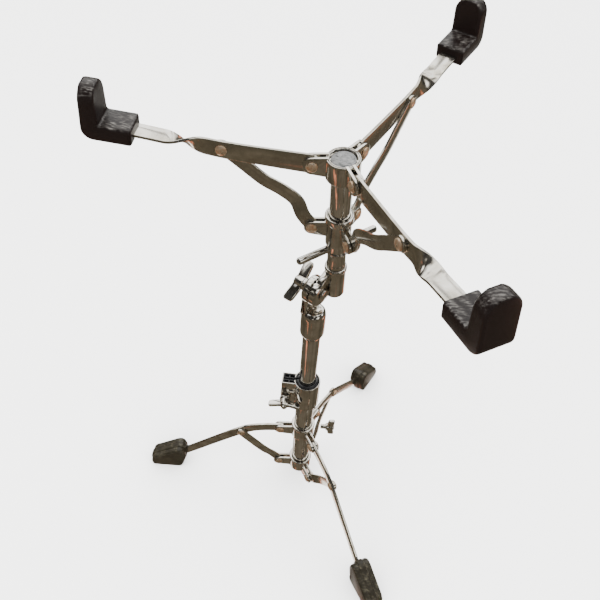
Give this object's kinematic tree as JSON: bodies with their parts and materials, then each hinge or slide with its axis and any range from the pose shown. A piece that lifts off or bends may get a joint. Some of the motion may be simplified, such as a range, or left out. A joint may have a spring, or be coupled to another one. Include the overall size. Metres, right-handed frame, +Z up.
{
  "type": "snare drum stand",
  "caption": "Folding tripod stand with a tilting basket of hinged arms and rubber grips that holds a snare drum level or tilted; height, tilt and grip adjust.",
  "frame": {"origin": "middle of the footprint box on the floor, under the stand", "axes": "+Z up, along the mast; -X is the side of the first leg and the first arm"},
  "size_m": [0.3452, 0.3758, 0.5974],
  "materials": {
    "chrome": "polished chrome plate, lightly scratched",
    "rivet_brass": "polished, a little tarnished",
    "cap_steel": "worn and scratched",
    "grip_rubber": "satin, scuffed on top",
    "foot_rubber": "matte, dusty",
    "clamp_plastic": "moulded gloss"
  },
  "bodies": {
    "base": {"base_tube": "chrome", "leg_hub_lower": "chrome", "clamp_band": "chrome", "clamp_insert": "clamp_plastic", "clamp_bolt": "chrome", "lower_hub_rivet_1": "rivet_brass", "lower_hub_rivet_2": "rivet_brass", "lower_hub_rivet_3": "rivet_brass"},
    "leg_collar": {"leg_hub_upper": "chrome", "leg_pivot_rivet_1": "rivet_brass", "leg_pivot_rivet_2": "rivet_brass", "leg_pivot_rivet_3": "rivet_brass"},
    "lock_screw": {"leg_lock_screw": "chrome"},
    "leg_1": {"leg_1": "chrome", "foot_1": "foot_rubber", "leg_brace_rivet_1": "rivet_brass"},
    "leg_brace_1": {"leg_brace_1": "chrome"},
    "leg_2": {"leg_2": "chrome", "foot_2": "foot_rubber", "leg_brace_rivet_2": "rivet_brass"},
    "leg_brace_2": {"leg_brace_2": "chrome"},
    "leg_3": {"leg_3": "chrome", "foot_3": "foot_rubber", "leg_brace_rivet_3": "rivet_brass"},
    "leg_brace_3": {"leg_brace_3": "chrome"},
    "clamp_nut": {"clamp_wing_nut": "chrome"},
    "mast": {"height_tube": "chrome", "tilter_lower": "chrome", "tilter_bolt": "chrome", "tilter_washer": "chrome"},
    "tilt_nut": {"tilter_wing_nut": "chrome"},
    "basket": {"tilter_upper": "chrome", "basket_post": "chrome", "arm_hub": "chrome", "hub_cap": "cap_steel", "arm_pivot_rivet_1": "rivet_brass", "arm_pivot_rivet_2": "rivet_brass", "arm_pivot_rivet_3": "rivet_brass"},
    "slider": {"slider_hub": "chrome", "slider_rivet_1": "rivet_brass", "slider_rivet_2": "rivet_brass", "slider_rivet_3": "rivet_brass"},
    "adjuster": {"adjuster_nut": "chrome", "adjuster_handle_1": "chrome", "adjuster_handle_2": "chrome"},
    "arm_1": {"arm_1": "chrome", "arm_grip_1": "grip_rubber", "arm_brace_rivet_1": "rivet_brass"},
    "arm_brace_1": {"arm_brace_1": "chrome"},
    "arm_2": {"arm_2": "chrome", "arm_grip_2": "grip_rubber", "arm_brace_rivet_2": "rivet_brass"},
    "arm_brace_2": {"arm_brace_2": "chrome"},
    "arm_3": {"arm_3": "chrome", "arm_grip_3": "grip_rubber", "arm_brace_rivet_3": "rivet_brass"},
    "arm_brace_3": {"arm_brace_3": "chrome"}
  },
  "joints": [
    {"name": "height_slide", "type": "slide", "parent": "base", "child": "mast", "axis": [0, 0, 1], "range_m": [-0.05, 0.09]},
    {"name": "leg_collar_slide", "type": "slide", "parent": "base", "child": "leg_collar", "axis": [0, 0, 1], "range_m": [0, 0.048]},
    {"name": "lock_screw_turn", "type": "hinge", "parent": "leg_collar", "child": "lock_screw", "pos_m": [0.05376, -0.00439, 0.116], "axis": [0.9917, 0.1288, 0], "continuous": true},
    {"name": "leg_1_fold", "type": "hinge", "parent": "leg_collar", "child": "leg_1", "pos_m": [0.00517, -0.0107, 0.107], "axis": [0.1288, -0.9917, 0], "range_deg": [0, 50.49]},
    {"name": "leg_brace_1_fold", "type": "hinge", "parent": "base", "child": "leg_brace_1", "pos_m": [0.00517, -0.0107, 0.023], "axis": [-0.1288, 0.9917, 0], "range_deg": [0, 22.87]},
    {"name": "leg_2_fold", "type": "hinge", "parent": "leg_collar", "child": "leg_2", "pos_m": [0.05154, -0.03, 0.107], "axis": [0.7944, 0.6074, 0], "range_deg": [0, 50.49]},
    {"name": "leg_brace_2_fold", "type": "hinge", "parent": "base", "child": "leg_brace_2", "pos_m": [0.05154, -0.03, 0.023], "axis": [-0.7944, -0.6074, 0], "range_deg": [0, 22.87]},
    {"name": "leg_3_fold", "type": "hinge", "parent": "leg_collar", "child": "leg_3", "pos_m": [0.04507, 0.01981, 0.107], "axis": [-0.9232, 0.3843, 0], "range_deg": [0, 50.49]},
    {"name": "leg_brace_3_fold", "type": "hinge", "parent": "base", "child": "leg_brace_3", "pos_m": [0.04507, 0.01981, 0.023], "axis": [0.9232, -0.3843, 0], "range_deg": [0, 22.87]},
    {"name": "clamp_nut_turn", "type": "hinge", "parent": "base", "child": "clamp_nut", "pos_m": [0.01086, -0.0211, 0.186], "axis": [0.0698, -0.9976, 0], "continuous": true},
    {"name": "basket_tilt", "type": "hinge", "parent": "mast", "child": "basket", "pos_m": [0.03393, -0.00696, 0.372], "axis": [0.8949, -0.4462, 0], "range_deg": [-50, 75]},
    {"name": "tilt_nut_turn", "type": "hinge", "parent": "mast", "child": "tilt_nut", "pos_m": [0.0197, 0.00013, 0.372], "axis": [-0.8949, 0.4462, 0], "continuous": true},
    {"name": "arm_1_fold", "type": "hinge", "parent": "basket", "child": "arm_1", "pos_m": [0.02132, -0.00696, 0.52196], "axis": [-0.0654, 0.9962, 0.0573], "range_deg": [0, 33.52]},
    {"name": "arm_brace_1_fold", "type": "hinge", "parent": "arm_1", "child": "arm_brace_1", "pos_m": [-0.05369, -0.01214, 0.52644], "axis": [0.0654, -0.9962, -0.0573], "range_deg": [0, 22.56]},
    {"name": "arm_2_fold", "type": "hinge", "parent": "basket", "child": "arm_2", "pos_m": [0.06045, -0.0263, 0.52197], "axis": [-0.8311, -0.5531, -0.0575], "range_deg": [0, 33.72]},
    {"name": "arm_brace_2_fold", "type": "hinge", "parent": "arm_2", "child": "arm_brace_2", "pos_m": [0.10189, -0.08904, 0.52648], "axis": [0.8311, 0.5531, 0.0575], "range_deg": [0, 22.56]},
    {"name": "arm_3_fold", "type": "hinge", "parent": "basket", "child": "arm_3", "pos_m": [0.0576, 0.01718, 0.52447], "axis": [0.8965, -0.4431, 0.0002], "range_deg": [0, 33.72]},
    {"name": "arm_brace_3_fold", "type": "hinge", "parent": "arm_3", "child": "arm_brace_3", "pos_m": [0.09055, 0.08385, 0.53642], "axis": [-0.8965, 0.4431, -0.0002], "range_deg": [0, 22.56]},
    {"name": "slider_lift", "type": "slide", "parent": "basket", "child": "slider", "axis": [-0.0296, -0.0593, 0.9978], "range_m": [0, 0.0311]},
    {"name": "adjuster_turn", "type": "hinge", "parent": "slider", "child": "adjuster", "pos_m": [0.04935, 0.00045, 0.42501], "axis": [-0.0296, -0.0593, 0.9978], "continuous": true}
  ],
  "couplings": [
    {"joint": "leg_1_fold", "follows": "leg_collar_slide", "rad_per_m": 18.286},
    {"joint": "leg_brace_1_fold", "follows": "leg_collar_slide", "rad_per_m": 8.2424},
    {"joint": "leg_2_fold", "follows": "leg_collar_slide", "rad_per_m": 18.286},
    {"joint": "leg_brace_2_fold", "follows": "leg_collar_slide", "rad_per_m": 8.2424},
    {"joint": "leg_3_fold", "follows": "leg_collar_slide", "rad_per_m": 18.286},
    {"joint": "leg_brace_3_fold", "follows": "leg_collar_slide", "rad_per_m": 8.2424},
    {"joint": "arm_brace_1_fold", "follows": "arm_1_fold", "ratio": 0.6671},
    {"joint": "arm_2_fold", "follows": "arm_1_fold", "ratio": 1},
    {"joint": "arm_brace_2_fold", "follows": "arm_1_fold", "ratio": 0.6671},
    {"joint": "arm_3_fold", "follows": "arm_1_fold", "ratio": 1},
    {"joint": "arm_brace_3_fold", "follows": "arm_1_fold", "ratio": 0.6671},
    {"joint": "slider_lift", "follows": "arm_1_fold", "m_per_rad": 0.05299}
  ]
}
